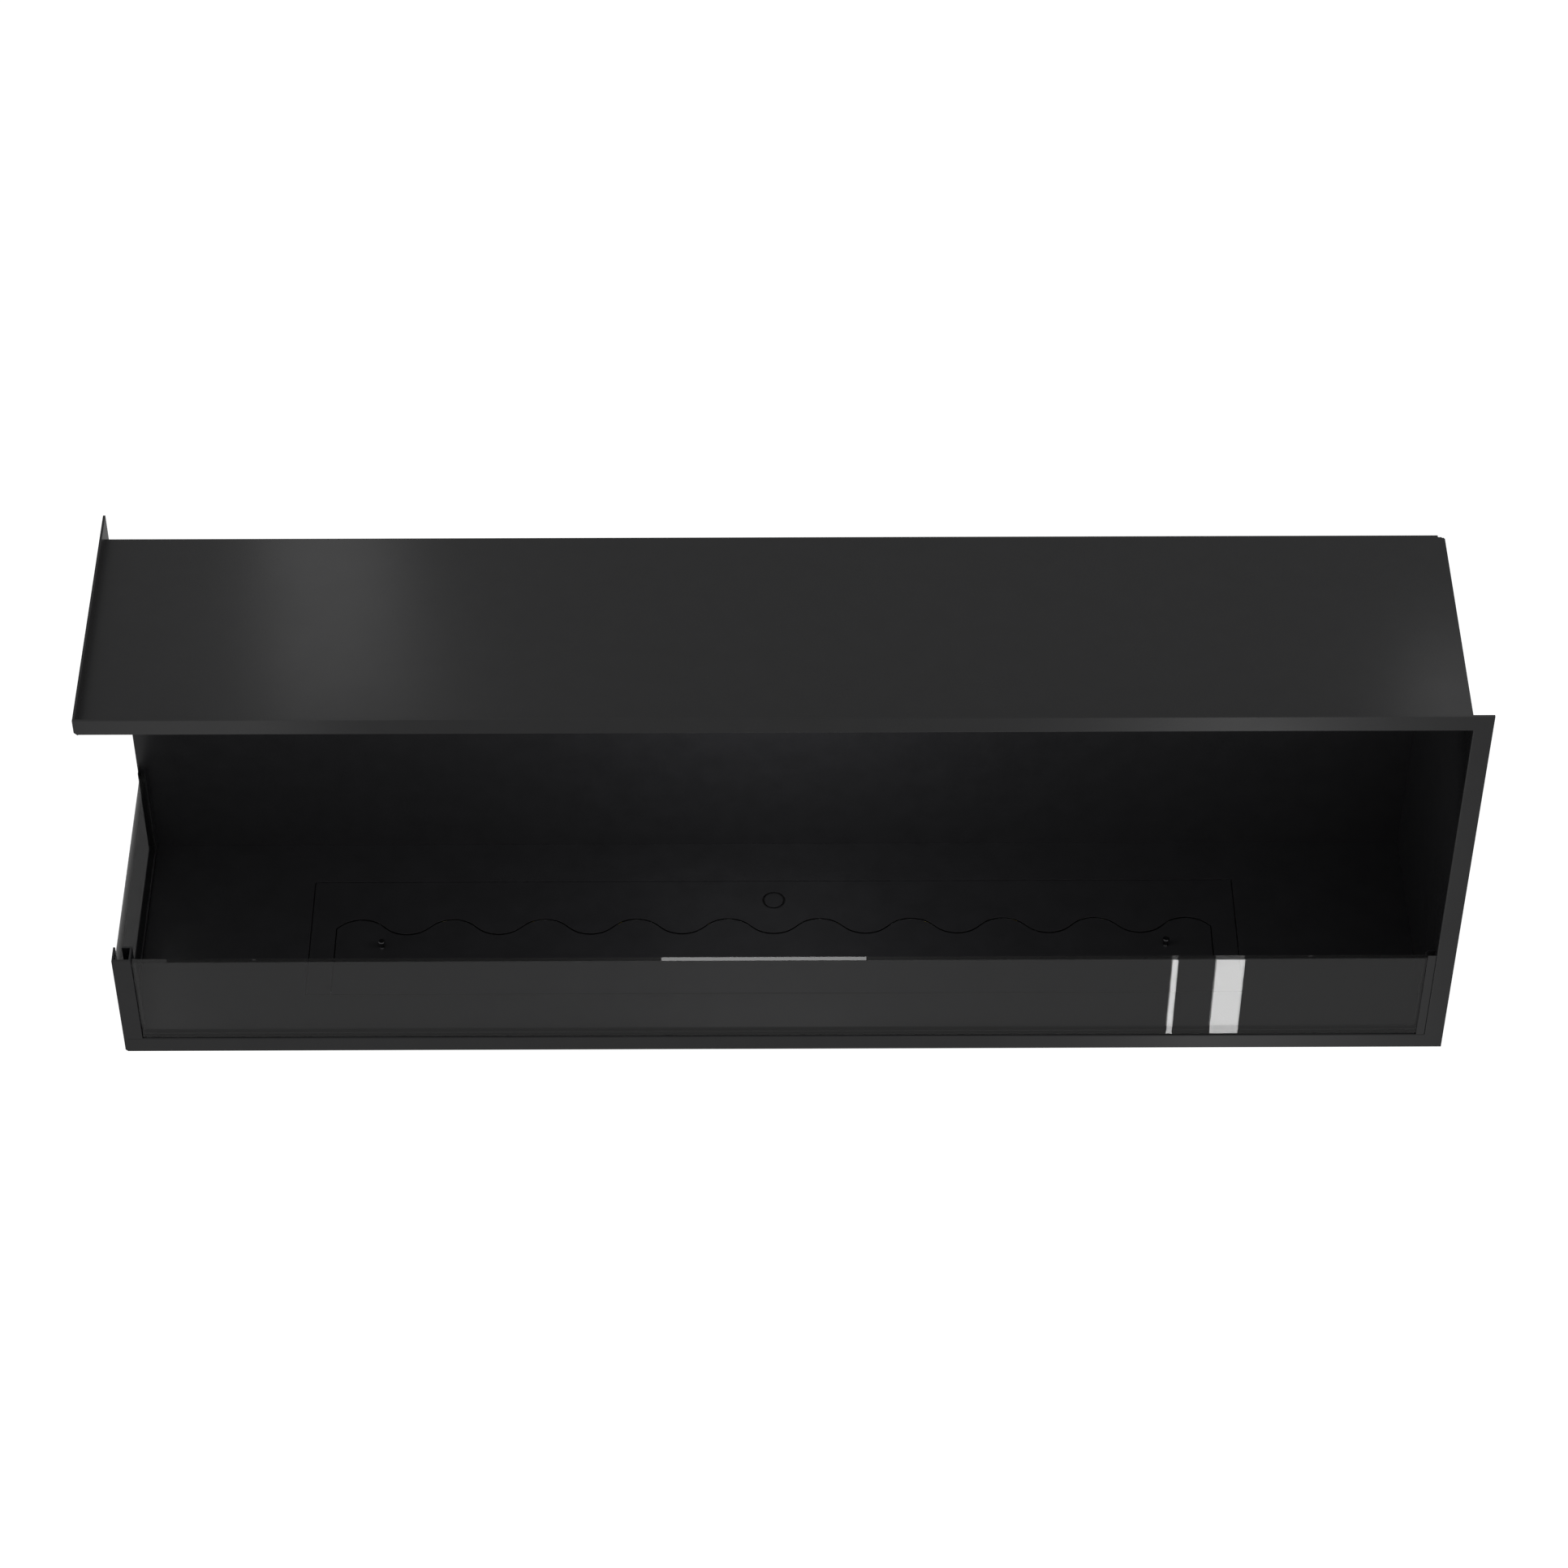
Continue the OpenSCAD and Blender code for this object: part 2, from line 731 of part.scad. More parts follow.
module impeller(k)
    color("#3a3a3c")
        in_place()
            at_fan(k)
                union() {
                    translate([0, 0, 0.3])
                        cylinder(r = fan_shaft_r, h = 4, $fn = 32);
                    translate([0, 0, 2.2])
                        cylinder(r = hub_r, h = fan_t - 3, $fn = 48);
                    intersection() {
                        difference() {
                            cylinder(r = impeller_r, h = fan_t, $fn = 64);
                            translate([0, 0, -1])
                                cylinder(r = hub_r - 0.5, h = fan_t + 2, $fn = 48);
                        }
                        union()
                            for (i = [0 : blades - 1])
                                rotate([0, 0, 360 * i / blades])
                                    translate([0, 0, fan_t / 2 + 0.6])
                                        rotate([38, 0, 0])
                                            block([hub_r - 1, -0.5, -3.6], [impeller_r + 1, 0.5, 3.6]);
                    }
                }

module fan_screws()
    color(steel)
        in_place()
            for (k = [-1, 0, 1])
                at_fan(k)
                    for (x = [-12, 12], y = [-12, 12])
                        translate([x, y, -1.4])
                            union() {
                                cylinder(r = 2.6, h = 1.4, $fn = 24);
                                cylinder(r = 1.5, h = 1.4 + fan_t - 0.2, $fn = 24);
                            }

// Electronics in the front bay, right of the tank
psu_x0 = burner_x + 6;
psu_l = 160;
psu_y0 = 76;
psu_w = 44;
psu_h = 34;
module power_supply()
    color(steel)
        in_place()
            difference() {
                block([psu_x0, psu_y0, bay_z], [psu_x0 + psu_l, psu_y0 + psu_w, bay_z + psu_h]);
                for (i = [0 : 11])
                    block([psu_x0 + 20 + i * 10, psu_y0 + 8, bay_z + psu_h - 0.8],
                          [psu_x0 + 24 + i * 10, psu_y0 + psu_w - 8, bay_z + psu_h + 1]);
            }

module terminal_block()
    color("#30343a")
        in_place()
            difference() {
                block([psu_x0 + psu_l, psu_y0 + 2, bay_z], [psu_x0 + psu_l + 14, psu_y0 + psu_w - 2, bay_z + 18]);
                for (i = [0 : 4])
                    block([psu_x0 + psu_l + 3, psu_y0 + 4.4 + i * 7.6, bay_z + 9],
                          [psu_x0 + psu_l + 15, psu_y0 + 9.2 + i * 7.6, bay_z + 19]);
            }

pcb_x0 = psu_x0 + psu_l + 30;
pcb_l = 150;
pcb_z = bay_z + 8;
module control_board()
    color("#1f5c38")
        in_place()
            difference() {
                block([pcb_x0, psu_y0, pcb_z], [pcb_x0 + pcb_l, psu_y0 + psu_w, pcb_z + board_t]);
                at_board_corners()
                    translate([0, 0, -1])
                        cylinder(r = 1.6, h = 4, $fn = 24);
            }

module at_board_corners()
    for (x = [5, pcb_l - 5], y = [5, psu_w - 5])
        translate([pcb_x0 + x, psu_y0 + y, pcb_z])
            children();

module board_standoffs()
    color(steel)
        in_place()
            at_board_corners()
                union() {
                    translate([0, 0, bay_z - pcb_z])
                        cylinder(r = 3, h = pcb_z - bay_z, $fn = 24);
                    cylinder(r = 1.5, h = board_t + 0.2, $fn = 24);
                    translate([0, 0, board_t])
                        cylinder(r = 2.8, h = 1.6, $fn = 24);
                }

module board_parts()
    color("#23262a")
        in_place()
            translate([pcb_x0, psu_y0, pcb_z + board_t]) {
                block([14, 8, 0], [33, 23, 15]);
                block([38, 8, 0], [57, 23, 15]);
                block([66, 14, 0], [84, 30, 2.2]);
                block([96, 12, 0], [120, 16, 14]);
                block([14, 34, 0], [44, 41, 9]);
                block([52, 34, 0], [82, 41, 9]);
                translate([92, 30, 0])
                    cylinder(r = 5, h = 13, $fn = 32);
                translate([106, 30, 0])
                    cylinder(r = 5, h = 13, $fn = 32);
                translate([120, 30, 0])
                    cylinder(r = 4, h = 10, $fn = 32);
            }

// Appliance inlet in the right end wall: flange outside, body inside, a socket with three pins
module mains_inlet()
    color("#141414")
        in_place()
            difference() {
                union() {
                    block([box_x1, inlet_y - 24, inlet_z - 14], [box_x1 + 3, inlet_y + 24, inlet_z + 14]);
                    block([box_x1 - 22, inlet_y - 13.5, inlet_z - 10.5], [box_x1 + eps, inlet_y + 13.5, inlet_z + 10.5]);
                }
                block([box_x1 - 14, inlet_y - 12, inlet_z - 8.2], [box_x1 + 4, inlet_y + 12, inlet_z + 8.2]);
                for (y = [-20, 20])
                    translate([box_x1 - 1, inlet_y + y, inlet_z])
                        rotate([0, 90, 0])
                            cylinder(r = 1.7, h = 5, $fn = 24);
            }

module inlet_pins()
    color("#c7b46a")
        in_place()
            for (p = [[-7, -1.5], [0, 2.5], [7, -1.5]])
                block([box_x1 - 16, inlet_y + p[0] - 1, inlet_z + p[1] - 2],
                      [box_x1 - 3, inlet_y + p[0] + 1, inlet_z + p[1] + 2]);

// Rocker switch in a bezel
module rocker_bezel()
    color("#141414")
        in_place()
            difference() {
                union() {
                    block([box_x1, rocker_y - 8, rocker_z - 11.5], [box_x1 + 1.6, rocker_y + 8, rocker_z + 11.5]);
                    block([box_x1 - 16, rocker_y - 6.3, rocker_z - 9.8], [box_x1 + eps, rocker_y + 6.3, rocker_z + 9.8]);
                }
                block([box_x1 - 13, rocker_y - 5.2, rocker_z - 8.6], [box_x1 + 3, rocker_y + 5.2, rocker_z + 8.6]);
                translate([box_x1 - 4, rocker_y - 7, rocker_z])
                    rotate([-90, 0, 0])
                        cylinder(r = 1.05, h = 14, $fn = 32);
            }

module power_rocker()
    color("#a01c1c")
        in_place()
            translate([box_x1 - 4, rocker_y, rocker_z])
                rotate([0, rocker_tilt, 0])
                    union() {
                        rotate([90, 0, 0])
                            linear_extrude(9.6, center = true)
                                polygon([[-3, -4], [0.6, -7.6], [4.6, -7.6], [5.2, 0], [4.6, 7.6], [0.6, 7.6], [-3, 4]]);
                        rotate([90, 0, 0])
                            cylinder(r = 1, h = 12.2, center = true, $fn = 32);
                    }

// Loom from the inlet along the front wall to the terminal block
loom_r = 2.5;
loom_sides = 10;
loom_route = [
    [box_x1 - 22, inlet_y, inlet_z],
    [box_x1 - 36, inlet_y, inlet_z],
    [box_x1 - 48, inlet_y - 6, inlet_z + 1],
    [box_x1 - 62, 78, inlet_z + 3],
    [box_x1 - 76, 75, inlet_z + 4],
    [psu_x0 + psu_l + 36, 75, inlet_z + 4],
    [psu_x0 + psu_l + 24, 78, inlet_z + 4],
    [psu_x0 + psu_l + 14, 90, inlet_z + 2],
    [psu_x0 + psu_l + 9, 97, inlet_z - 3],
    [psu_x0 + psu_l + 8, 98, inlet_z - 9],
    [psu_x0 + psu_l + 8, 98, bay_z + 18]
];
function unit(v) = v / norm(v);
function heading(p, i) =
    i == 0 ? unit(p[1] - p[0])
    : i == len(p) - 1 ? unit(p[i] - p[i - 1])
    : unit(unit(p[i] - p[i - 1]) + unit(p[i + 1] - p[i]));
function ring(c, t, r, n) =
    let (v = unit(cross(t, [0, 1, 0])), u = cross(v, t))
    [for (j = [0 : n - 1]) c + r * cos(360 * j / n) * u + r * sin(360 * j / n) * v];

// Round tube swept along a route of points
module tube_along(p, r, n) {
    rings = [for (i = [0 : len(p) - 1]) each ring(p[i], heading(p, i), r, n)];
    last = (len(p) - 1) * n;
    polyhedron(rings, concat(
        [[for (j = [0 : n - 1]) j]],
        [[for (j = [n - 1 : -1 : 0]) last + j]],
        [for (i = [0 : len(p) - 2], j = [0 : n - 1])
            [i * n + j, i * n + n + j, i * n + n + (j + 1) % n, i * n + (j + 1) % n]]
    ));
}

module wiring_loom()
    color("#38383c")
        in_place()
            tube_along(loom_route, loom_r, loom_sides);

// Earth stud with its nut beside the inlet
module earth_stud()
    color("#c7b46a")
        in_place()
            translate([box_x1, 140, inlet_z])
                rotate([0, 90, 0])
                    union() {
                        translate([0, 0, -8])
                            cylinder(r = 2, h = 20, $fn = 32);
                        cylinder(r = 4, h = 3.2, $fn = 6);
                        translate([0, 0, -box_t - 3])
                            cylinder(r = 4, h = 3, $fn = 6);
                    }

top_panel();
back_panel();
right_panel();
base_pan();
floor_plate();
corner_post();
front_glass();
side_glass();
right_glass_channel();
rear_glass_channel();
front_glass_rail();
side_glass_rail();
front_glass_gasket();
side_glass_gasket();
rear_plate();
front_cover();
cover_knobs();
burner_ledges();
burner_housing();
burner_screws();
mist_trough();
mist_hood();
led_boards();
led_chips();
mist_makers();
ceramic_discs();
level_stem();
level_float();
water_tank();
filler_cap();
cap_seal();
feed_tube();
fan_frame(-1);  // fan_frame_left
fan_frame(0);  // fan_frame_middle
fan_frame(1);  // fan_frame_right
impeller(-1);  // impeller_left
impeller(0);  // impeller_middle
impeller(1);  // impeller_right
fan_screws();
power_supply();
terminal_block();
control_board();
board_parts();
board_standoffs();
mains_inlet();
inlet_pins();
rocker_bezel();
power_rocker();
wiring_loom();
earth_stud();
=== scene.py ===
"""Looks of the built-in corner fireplace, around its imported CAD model."""

import json
import math

import bmesh
import bpy
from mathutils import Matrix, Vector


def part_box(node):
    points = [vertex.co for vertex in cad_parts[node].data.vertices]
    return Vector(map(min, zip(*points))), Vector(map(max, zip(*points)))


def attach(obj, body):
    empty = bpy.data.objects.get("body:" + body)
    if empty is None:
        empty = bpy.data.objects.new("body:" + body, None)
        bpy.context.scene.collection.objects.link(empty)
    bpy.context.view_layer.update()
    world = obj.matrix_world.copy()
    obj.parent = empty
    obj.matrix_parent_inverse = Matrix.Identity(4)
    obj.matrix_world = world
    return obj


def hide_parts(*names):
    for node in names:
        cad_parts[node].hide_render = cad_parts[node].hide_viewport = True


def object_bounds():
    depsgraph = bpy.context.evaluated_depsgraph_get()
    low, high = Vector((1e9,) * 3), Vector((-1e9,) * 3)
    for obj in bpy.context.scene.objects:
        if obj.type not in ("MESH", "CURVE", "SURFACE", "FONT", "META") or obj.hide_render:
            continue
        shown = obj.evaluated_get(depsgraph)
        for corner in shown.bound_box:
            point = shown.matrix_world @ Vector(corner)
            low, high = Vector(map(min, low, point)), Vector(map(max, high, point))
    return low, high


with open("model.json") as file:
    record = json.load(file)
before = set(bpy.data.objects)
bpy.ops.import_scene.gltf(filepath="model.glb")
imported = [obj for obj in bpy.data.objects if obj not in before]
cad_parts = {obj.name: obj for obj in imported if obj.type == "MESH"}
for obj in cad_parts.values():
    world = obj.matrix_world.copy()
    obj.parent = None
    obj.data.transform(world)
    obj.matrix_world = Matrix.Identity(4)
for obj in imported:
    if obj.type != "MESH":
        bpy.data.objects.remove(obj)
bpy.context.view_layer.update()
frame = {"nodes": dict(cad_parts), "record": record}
MM = 0.001

# The casing's own corner: left, front and lower edge of its flange
CORNER = Vector(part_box("base_pan")[0])


def at(x, y, z):
    """A place in the casing's millimetres, as metres in the row frame."""
    return CORNER + Vector((x, y, z)) * MM


# ---------------------------------------------------------------- camera

camera_data = bpy.data.cameras.new("camera")
camera = bpy.data.objects.new("camera", camera_data)
bpy.context.collection.objects.link(camera)
bpy.context.scene.camera = camera
camera_data.sensor_fit = "HORIZONTAL"
camera_data.sensor_width = 36.0
camera_data.lens = 100.63
camera_data.clip_end = 50.0
camera.location = at(686.55, -3061.03, 3568.69)
camera.rotation_euler = [math.radians(a) for a in (44.0791, -0.0336, -0.2923)]

# ---------------------------------------------------------------- node helpers


class Nodes:
    """Adds and links the nodes of one material."""

    def __init__(self, name):
        self.mat = bpy.data.materials.new(name)
        self.mat.use_nodes = True
        self.tree = self.mat.node_tree
        self.tree.nodes.clear()
        self.out = self.tree.nodes.new("ShaderNodeOutputMaterial")

    def add(self, kind, **values):
        """A new node, with values or links for its inputs."""
        node = self.tree.nodes.new("ShaderNode" + kind)
        for key, value in values.items():
            self.put(node, key, value)
        return node

    def put(self, node, key, value):
        """Gives an input a value, or links an output to it."""
        socket = node.inputs[key]
        if isinstance(value, bpy.types.NodeSocket):
            self.tree.links.new(value, socket)
        else:
            socket.default_value = value

    def math(self, operation, *values):
        node = self.add("Math")
        node.operation = operation
        for i, value in enumerate(values):
            self.put(node, i, value)
        return node.outputs[0]

    def ramp(self, value, *stops):
        """A ramp from a value to colours: stops of (position, colour)."""
        node = self.add("ValToRGB")
        self.put(node, "Fac", value)
        elements = node.color_ramp.elements
        while len(elements) < len(stops):
            elements.new(0.5)
        for element, (place, colour) in zip(elements, stops):
            element.position = place
            element.color = (*colour, 1.0)
        return node.outputs[0]

    def spread(self, value, low, high, new_low, new_high):
        """Maps one range of a value to another."""
        node = self.add("MapRange")
        for key, v in zip(("Value", "From Min", "From Max", "To Min", "To Max"),
                          (value, low, high, new_low, new_high)):
            self.put(node, key, v)
        return node.outputs[0]

    def place(self, scale=(1, 1, 1)):
        """The place on the object in metres, stretched by a scale."""
        coords = self.add("TexCoord").outputs["Object"]
        if scale == (1, 1, 1):
            return coords
        return self.add("Mapping", Vector=coords, Scale=scale).outputs[0]

    def noise(self, scale, detail=3.0, rough=0.5, where=None):
        node = self.add("TexNoise", Vector=where or self.place(), Scale=scale, Detail=detail, Roughness=rough)
        return node.outputs["Fac"]

    def bump(self, height, distance, strength):
        return self.add("Bump", Height=height, Distance=distance, Strength=strength).outputs[0]

    def finish(self, shader):
        self.put(self.out, "Surface", shader)
        return self.mat


def tone(colour, k):
    """A colour made lighter or darker."""
    return tuple(c * k for c in colour)


def grey(level):
    return (level, level, level)


# ---------------------------------------------------------------- materials

# How much of the coat's colour is left under the painted shade in a slot or an engraving, and over what depth
# that painted shade fades
SLOT_PAINTED_SHADE = 0.05
PAINTED_SHADE_FADE_DEPTH = 0.3 * MM
# The engraved ring's floor is lower than this below the burner plates' upper face
ENGRAVING_DEPTH = 0.35 * MM

# The panes: the mirror's share seen square on and its growth, the painted shade of an arris against
# that of the upper face, and the milky share of both
MIRROR_FACING = 0.046
MIRROR_GRAZING = 0.958
ARRIS_PAINTED_SHADE_RATIO = 1.8
EDGE_HAZE = 0.01


def powder_coat(name, colour, roughness=0.29, grain=0.35, painted_shade_below=None):
    """Fine satin powder coat: slight orange peel, faint mottling and rubbed patches.
    Below a height its colour is darkened: painted shade, as in a slot or an engraving."""
    n = Nodes(name)
    mottle = n.noise(38.0, 4.0, 0.6)
    fine = n.noise(1900.0, 2.0, 0.5)
    broad = n.noise(5.0, 3.0, 0.55)
    base = n.ramp(mottle, (0.3, tone(colour, 0.9)), (0.7, tone(colour, 1.12)))
    # Painted shade: below a height the coat's colour is scaled down, as if a slot or an engraving lay in
    # shade
    if painted_shade_below is not None:
        height = n.add("SeparateXYZ", Vector=n.place()).outputs["Z"]
        shade = n.add("VectorMath")
        shade.operation = "SCALE"
        n.put(shade, 0, base)
        n.put(shade, "Scale", n.spread(height, painted_shade_below - PAINTED_SHADE_FADE_DEPTH, painted_shade_below, SLOT_PAINTED_SHADE, 1.0))
        base = shade.outputs[0]
    rough = n.math("ADD", n.spread(broad, 0.3, 0.7, roughness - 0.03, roughness + 0.03),
                   n.spread(fine, 0.3, 0.7, -0.025, 0.025))
    peel = n.bump(n.noise(620.0, 2.0, 0.5), 0.00006, grain)
    shader = n.add("BsdfPrincipled")
    n.put(shader, "Base Color", base)
    n.put(shader, "Roughness", rough)
    n.put(shader, "Normal", peel)
    return n.finish(shader.outputs[0])


def smoked_glass(name, density, tint, edge):
    """Smoked glass that doesn't bend what is behind it: a mirror share that grows at a grazing angle.
    Its upper face and arris are painted darker: painted shade for light that enters there and has a long way
    through the pane."""
    n = Nodes(name)
    facing = n.add("LayerWeight", Blend=0.5).outputs["Facing"]
    share = n.math("MULTIPLY_ADD", n.math("POWER", facing, 5.0), MIRROR_GRAZING, MIRROR_FACING)
    normal = n.add("TexCoord").outputs["Normal"]
    up = n.add("SeparateXYZ", Vector=normal).outputs["Z"]
    # Painted shade: faces that look up let less through, the upper face most and its arris less
    arris = ARRIS_PAINTED_SHADE_RATIO * edge
    clear = n.add("BsdfTransparent", Color=n.ramp(up, (0.3, grey(1.0)), (0.6, grey(arris)),
                                                  (0.75, grey(arris)), (0.95, grey(edge))))
    haze = n.add("BsdfDiffuse", Color=n.ramp(up, (0.3, grey(0.0)), (0.6, grey(EDGE_HAZE))))
    body = n.add("AddShader")
    n.put(body, 0, clear.outputs[0])
    n.put(body, 1, haze.outputs[0])
    smears = n.spread(n.noise(9.0, 4.0, 0.6), 0.35, 0.75, 0.0, 0.012)
    mirror = n.add("BsdfGlossy", Color=(1.0, 1.0, 1.0, 1.0), Roughness=smears)
    mix = n.add("MixShader", Fac=share)
    n.put(mix, 1, body.outputs[0])
    n.put(mix, 2, mirror.outputs[0])
    volume = n.add("VolumeAbsorption", Color=(*tint, 1.0), Density=density)
    n.put(n.out, "Volume", volume.outputs[0])
    return n.finish(mix.outputs[0])


def brushed(name, colour, roughness=0.3, along=(1, 1, 40), metallic=1.0):
    """Brushed or turned metal: fine streaks across one axis."""
    n = Nodes(name)
    streaks = n.noise(260.0, 3.0, 0.6, n.place(along))
    stains = n.noise(14.0, 3.0, 0.6)
    base = n.ramp(streaks, (0.25, tone(colour, 0.82)), (0.75, tone(colour, 1.1)))
    rough = n.math("ADD", n.spread(streaks, 0.2, 0.8, roughness - 0.06, roughness + 0.08),
                   n.spread(stains, 0.3, 0.7, -0.03, 0.05))
    shader = n.add("BsdfPrincipled")
    n.put(shader, "Base Color", base)
    n.put(shader, "Roughness", rough)
    n.put(shader, "Normal", n.bump(streaks, 0.00002, 0.4))
    shader.inputs["Metallic"].default_value = metallic
    return n.finish(shader.outputs[0])


def zinc(name, colour):
    """Zinc plate with a faint spangle."""
    n = Nodes(name)
    cells = n.add("TexVoronoi", Vector=n.place(), Scale=160.0)
    base = n.ramp(cells.outputs["Color"], (0.2, tone(colour, 0.85)), (0.8, tone(colour, 1.08)))
    shader = n.add("BsdfPrincipled")
    n.put(shader, "Base Color", base)
    n.put(shader, "Roughness", n.spread(cells.outputs["Distance"], 0.0, 0.6, 0.28, 0.42))
    n.put(shader, "Normal", n.bump(n.noise(700.0), 0.00002, 0.3))
    shader.inputs["Metallic"].default_value = 1.0
    return n.finish(shader.outputs[0])


def plastic(name, colour, roughness, texture, depth=0.00004, sheen=0.0):
    """Moulded plastic: spark-eroded texture and slight flow marks."""
    n = Nodes(name)
    flow = n.noise(22.0, 3.0, 0.55, n.place((1, 1, 4)))
    base = n.ramp(flow, (0.3, tone(colour, 0.93)), (0.7, tone(colour, 1.07)))
    spark = n.noise(texture, 3.0, 0.6)
    shader = n.add("BsdfPrincipled")
    n.put(shader, "Base Color", base)
    n.put(shader, "Roughness", n.spread(flow, 0.3, 0.7, roughness - 0.04, roughness + 0.04))
    n.put(shader, "Normal", n.bump(spark, depth, 0.6))
    shader.inputs["Sheen Weight"].default_value = sheen
    return n.finish(shader.outputs[0])


def translucent(name, colour, roughness=0.25):
    """Milky plastic or silicone that lets light glow through it."""
    n = Nodes(name)
    flow = n.noise(16.0, 3.0, 0.5)
    shader = n.add("BsdfPrincipled")
    n.put(shader, "Base Color", n.ramp(flow, (0.3, tone(colour, 0.94)), (0.7, tone(colour, 1.04))))
    n.put(shader, "Roughness", n.spread(flow, 0.3, 0.7, roughness - 0.05, roughness + 0.06))
    n.put(shader, "Normal", n.bump(n.noise(90.0), 0.0001, 0.25))
    shader.inputs["Subsurface Weight"].default_value = 0.35
    shader.inputs["Subsurface Radius"].default_value = (0.01, 0.01, 0.01)
    shader.inputs["Subsurface Scale"].default_value = 0.4
    return n.finish(shader.outputs[0])


def circuit_board(name, colour, line):
    """Solder mask with faint tracks under it."""
    n = Nodes(name)
    tracks = n.add("TexBrick", Vector=n.place())
    tracks.inputs["Scale"].default_value = 90.0
    tracks.inputs["Mortar Size"].default_value = 0.04
    tracks.inputs["Color1"].default_value = (*tone(colour, 0.9), 1.0)
    tracks.inputs["Color2"].default_value = (*tone(colour, 1.1), 1.0)
    tracks.inputs["Mortar"].default_value = (*line, 1.0)
    shader = n.add("BsdfPrincipled")
    n.put(shader, "Base Color", tracks.outputs["Color"])
    n.put(shader, "Roughness", n.spread(n.noise(60.0), 0.3, 0.7, 0.22, 0.34))
    n.put(shader, "Normal", n.bump(tracks.outputs["Fac"], 0.00003, 0.4))
    return n.finish(shader.outputs[0])


def braid(name, colour):
    """Braided sleeve."""
    n = Nodes(name)
    wave = n.add("TexWave", Vector=n.place((1, 1.4, 1)), Scale=420.0, Distortion=1.5)
    wave.wave_type = "BANDS"
    wave.bands_direction = "DIAGONAL"
    strands = wave.outputs["Fac"]
    shader = n.add("BsdfPrincipled")
    n.put(shader, "Base Color", n.ramp(strands, (0.2, tone(colour, 0.5)), (0.8, tone(colour, 1.5))))
    n.put(shader, "Roughness", n.spread(strands, 0.0, 1.0, 0.6, 0.4))
    n.put(shader, "Normal", n.bump(strands, 0.0003, 0.7))
    return n.finish(shader.outputs[0])


BLACK = (0.0125, 0.0125, 0.0135)
MATERIALS = {
    "casing_black": powder_coat("casing_black", BLACK),
    "profile_black": powder_coat("profile_black", BLACK, 0.3),
    # The burner plates get painted shade in their slots and in the engraved ring, below their upper face
    "burner_black": powder_coat("burner_black", tone(BLACK, 0.98), 0.31,
                                painted_shade_below=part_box("rear_plate")[1][2] - ENGRAVING_DEPTH),
    "housing_steel": powder_coat("housing_steel", tone(BLACK, 1.4), 0.55, 0.6),
    # The last number is the painted shade of the panes' upper faces
    "smoked_glass": smoked_glass("smoked_glass", 50.0, (0.0, 0.0, 0.0), 0.25),
    "seal_rubber": plastic("seal_rubber", (0.012, 0.012, 0.012), 0.72, 900.0, 0.00003, 0.15),
    "knob_steel": brushed("knob_steel", (0.12, 0.12, 0.125), 0.22, (1, 1, 60)),
    "zinc_steel": zinc("zinc_steel", (0.55, 0.56, 0.58)),
    "stainless": brushed("stainless", (0.58, 0.58, 0.6), 0.3, (40, 1, 1)),
    "trough_plastic": plastic("trough_plastic", (0.035, 0.037, 0.041), 0.5, 380.0),
    "tank_plastic": translucent("tank_plastic", (0.62, 0.66, 0.68)),
    "cap_plastic": plastic("cap_plastic", (0.02, 0.11, 0.33), 0.4, 520.0),
    "tube_silicone": translucent("tube_silicone", (0.6, 0.6, 0.57), 0.35),
    "fan_plastic": plastic("fan_plastic", (0.014, 0.014, 0.015), 0.5, 700.0),
    "impeller_plastic": plastic("impeller_plastic", (0.03, 0.03, 0.033), 0.32, 900.0, 0.00002),
    "board_white": circuit_board("board_white", (0.7, 0.71, 0.69), (0.5, 0.52, 0.5)),
    "led_phosphor": plastic("led_phosphor", (0.8, 0.55, 0.08), 0.3, 1500.0, 0.00001),
    "ceramic": brushed("ceramic", (0.6, 0.5, 0.32), 0.3, (1, 1, 1), 0.4),
    "float_foam": plastic("float_foam", (0.68, 0.68, 0.66), 0.6, 300.0, 0.0002),
    "board_green": circuit_board("board_green", (0.008, 0.08, 0.03), (0.02, 0.16, 0.06)),
    "component_black": plastic("component_black", (0.016, 0.016, 0.018), 0.42, 600.0),
    "inlet_plastic": plastic("inlet_plastic", (0.011, 0.011, 0.011), 0.45, 600.0),
    "contact_brass": brushed("contact_brass", (0.6, 0.47, 0.24), 0.25, (30, 1, 1)),
    "rocker_red": plastic("rocker_red", (0.38, 0.014, 0.012), 0.28, 700.0, 0.00002),
    "loom_sleeve": braid("loom_sleeve", (0.03, 0.03, 0.033)),
}

SLOT = {part["node"]: part["material_slot"] for part in frame["record"]["subparts"]}
for name, obj in frame["nodes"].items():
    obj.data.materials.clear()
    obj.data.materials.append(MATERIALS[SLOT[name]])

BODY = {node: body for body, nodes in frame["record"]["behaviour"]["bodies"].items() for node in nodes}

# ---------------------------------------------------------------- edges


BEVEL_ANGLE = math.radians(30.0)
MERGE_DISTANCE = 1e-6
FLAT_ANGLE = math.radians(0.5)


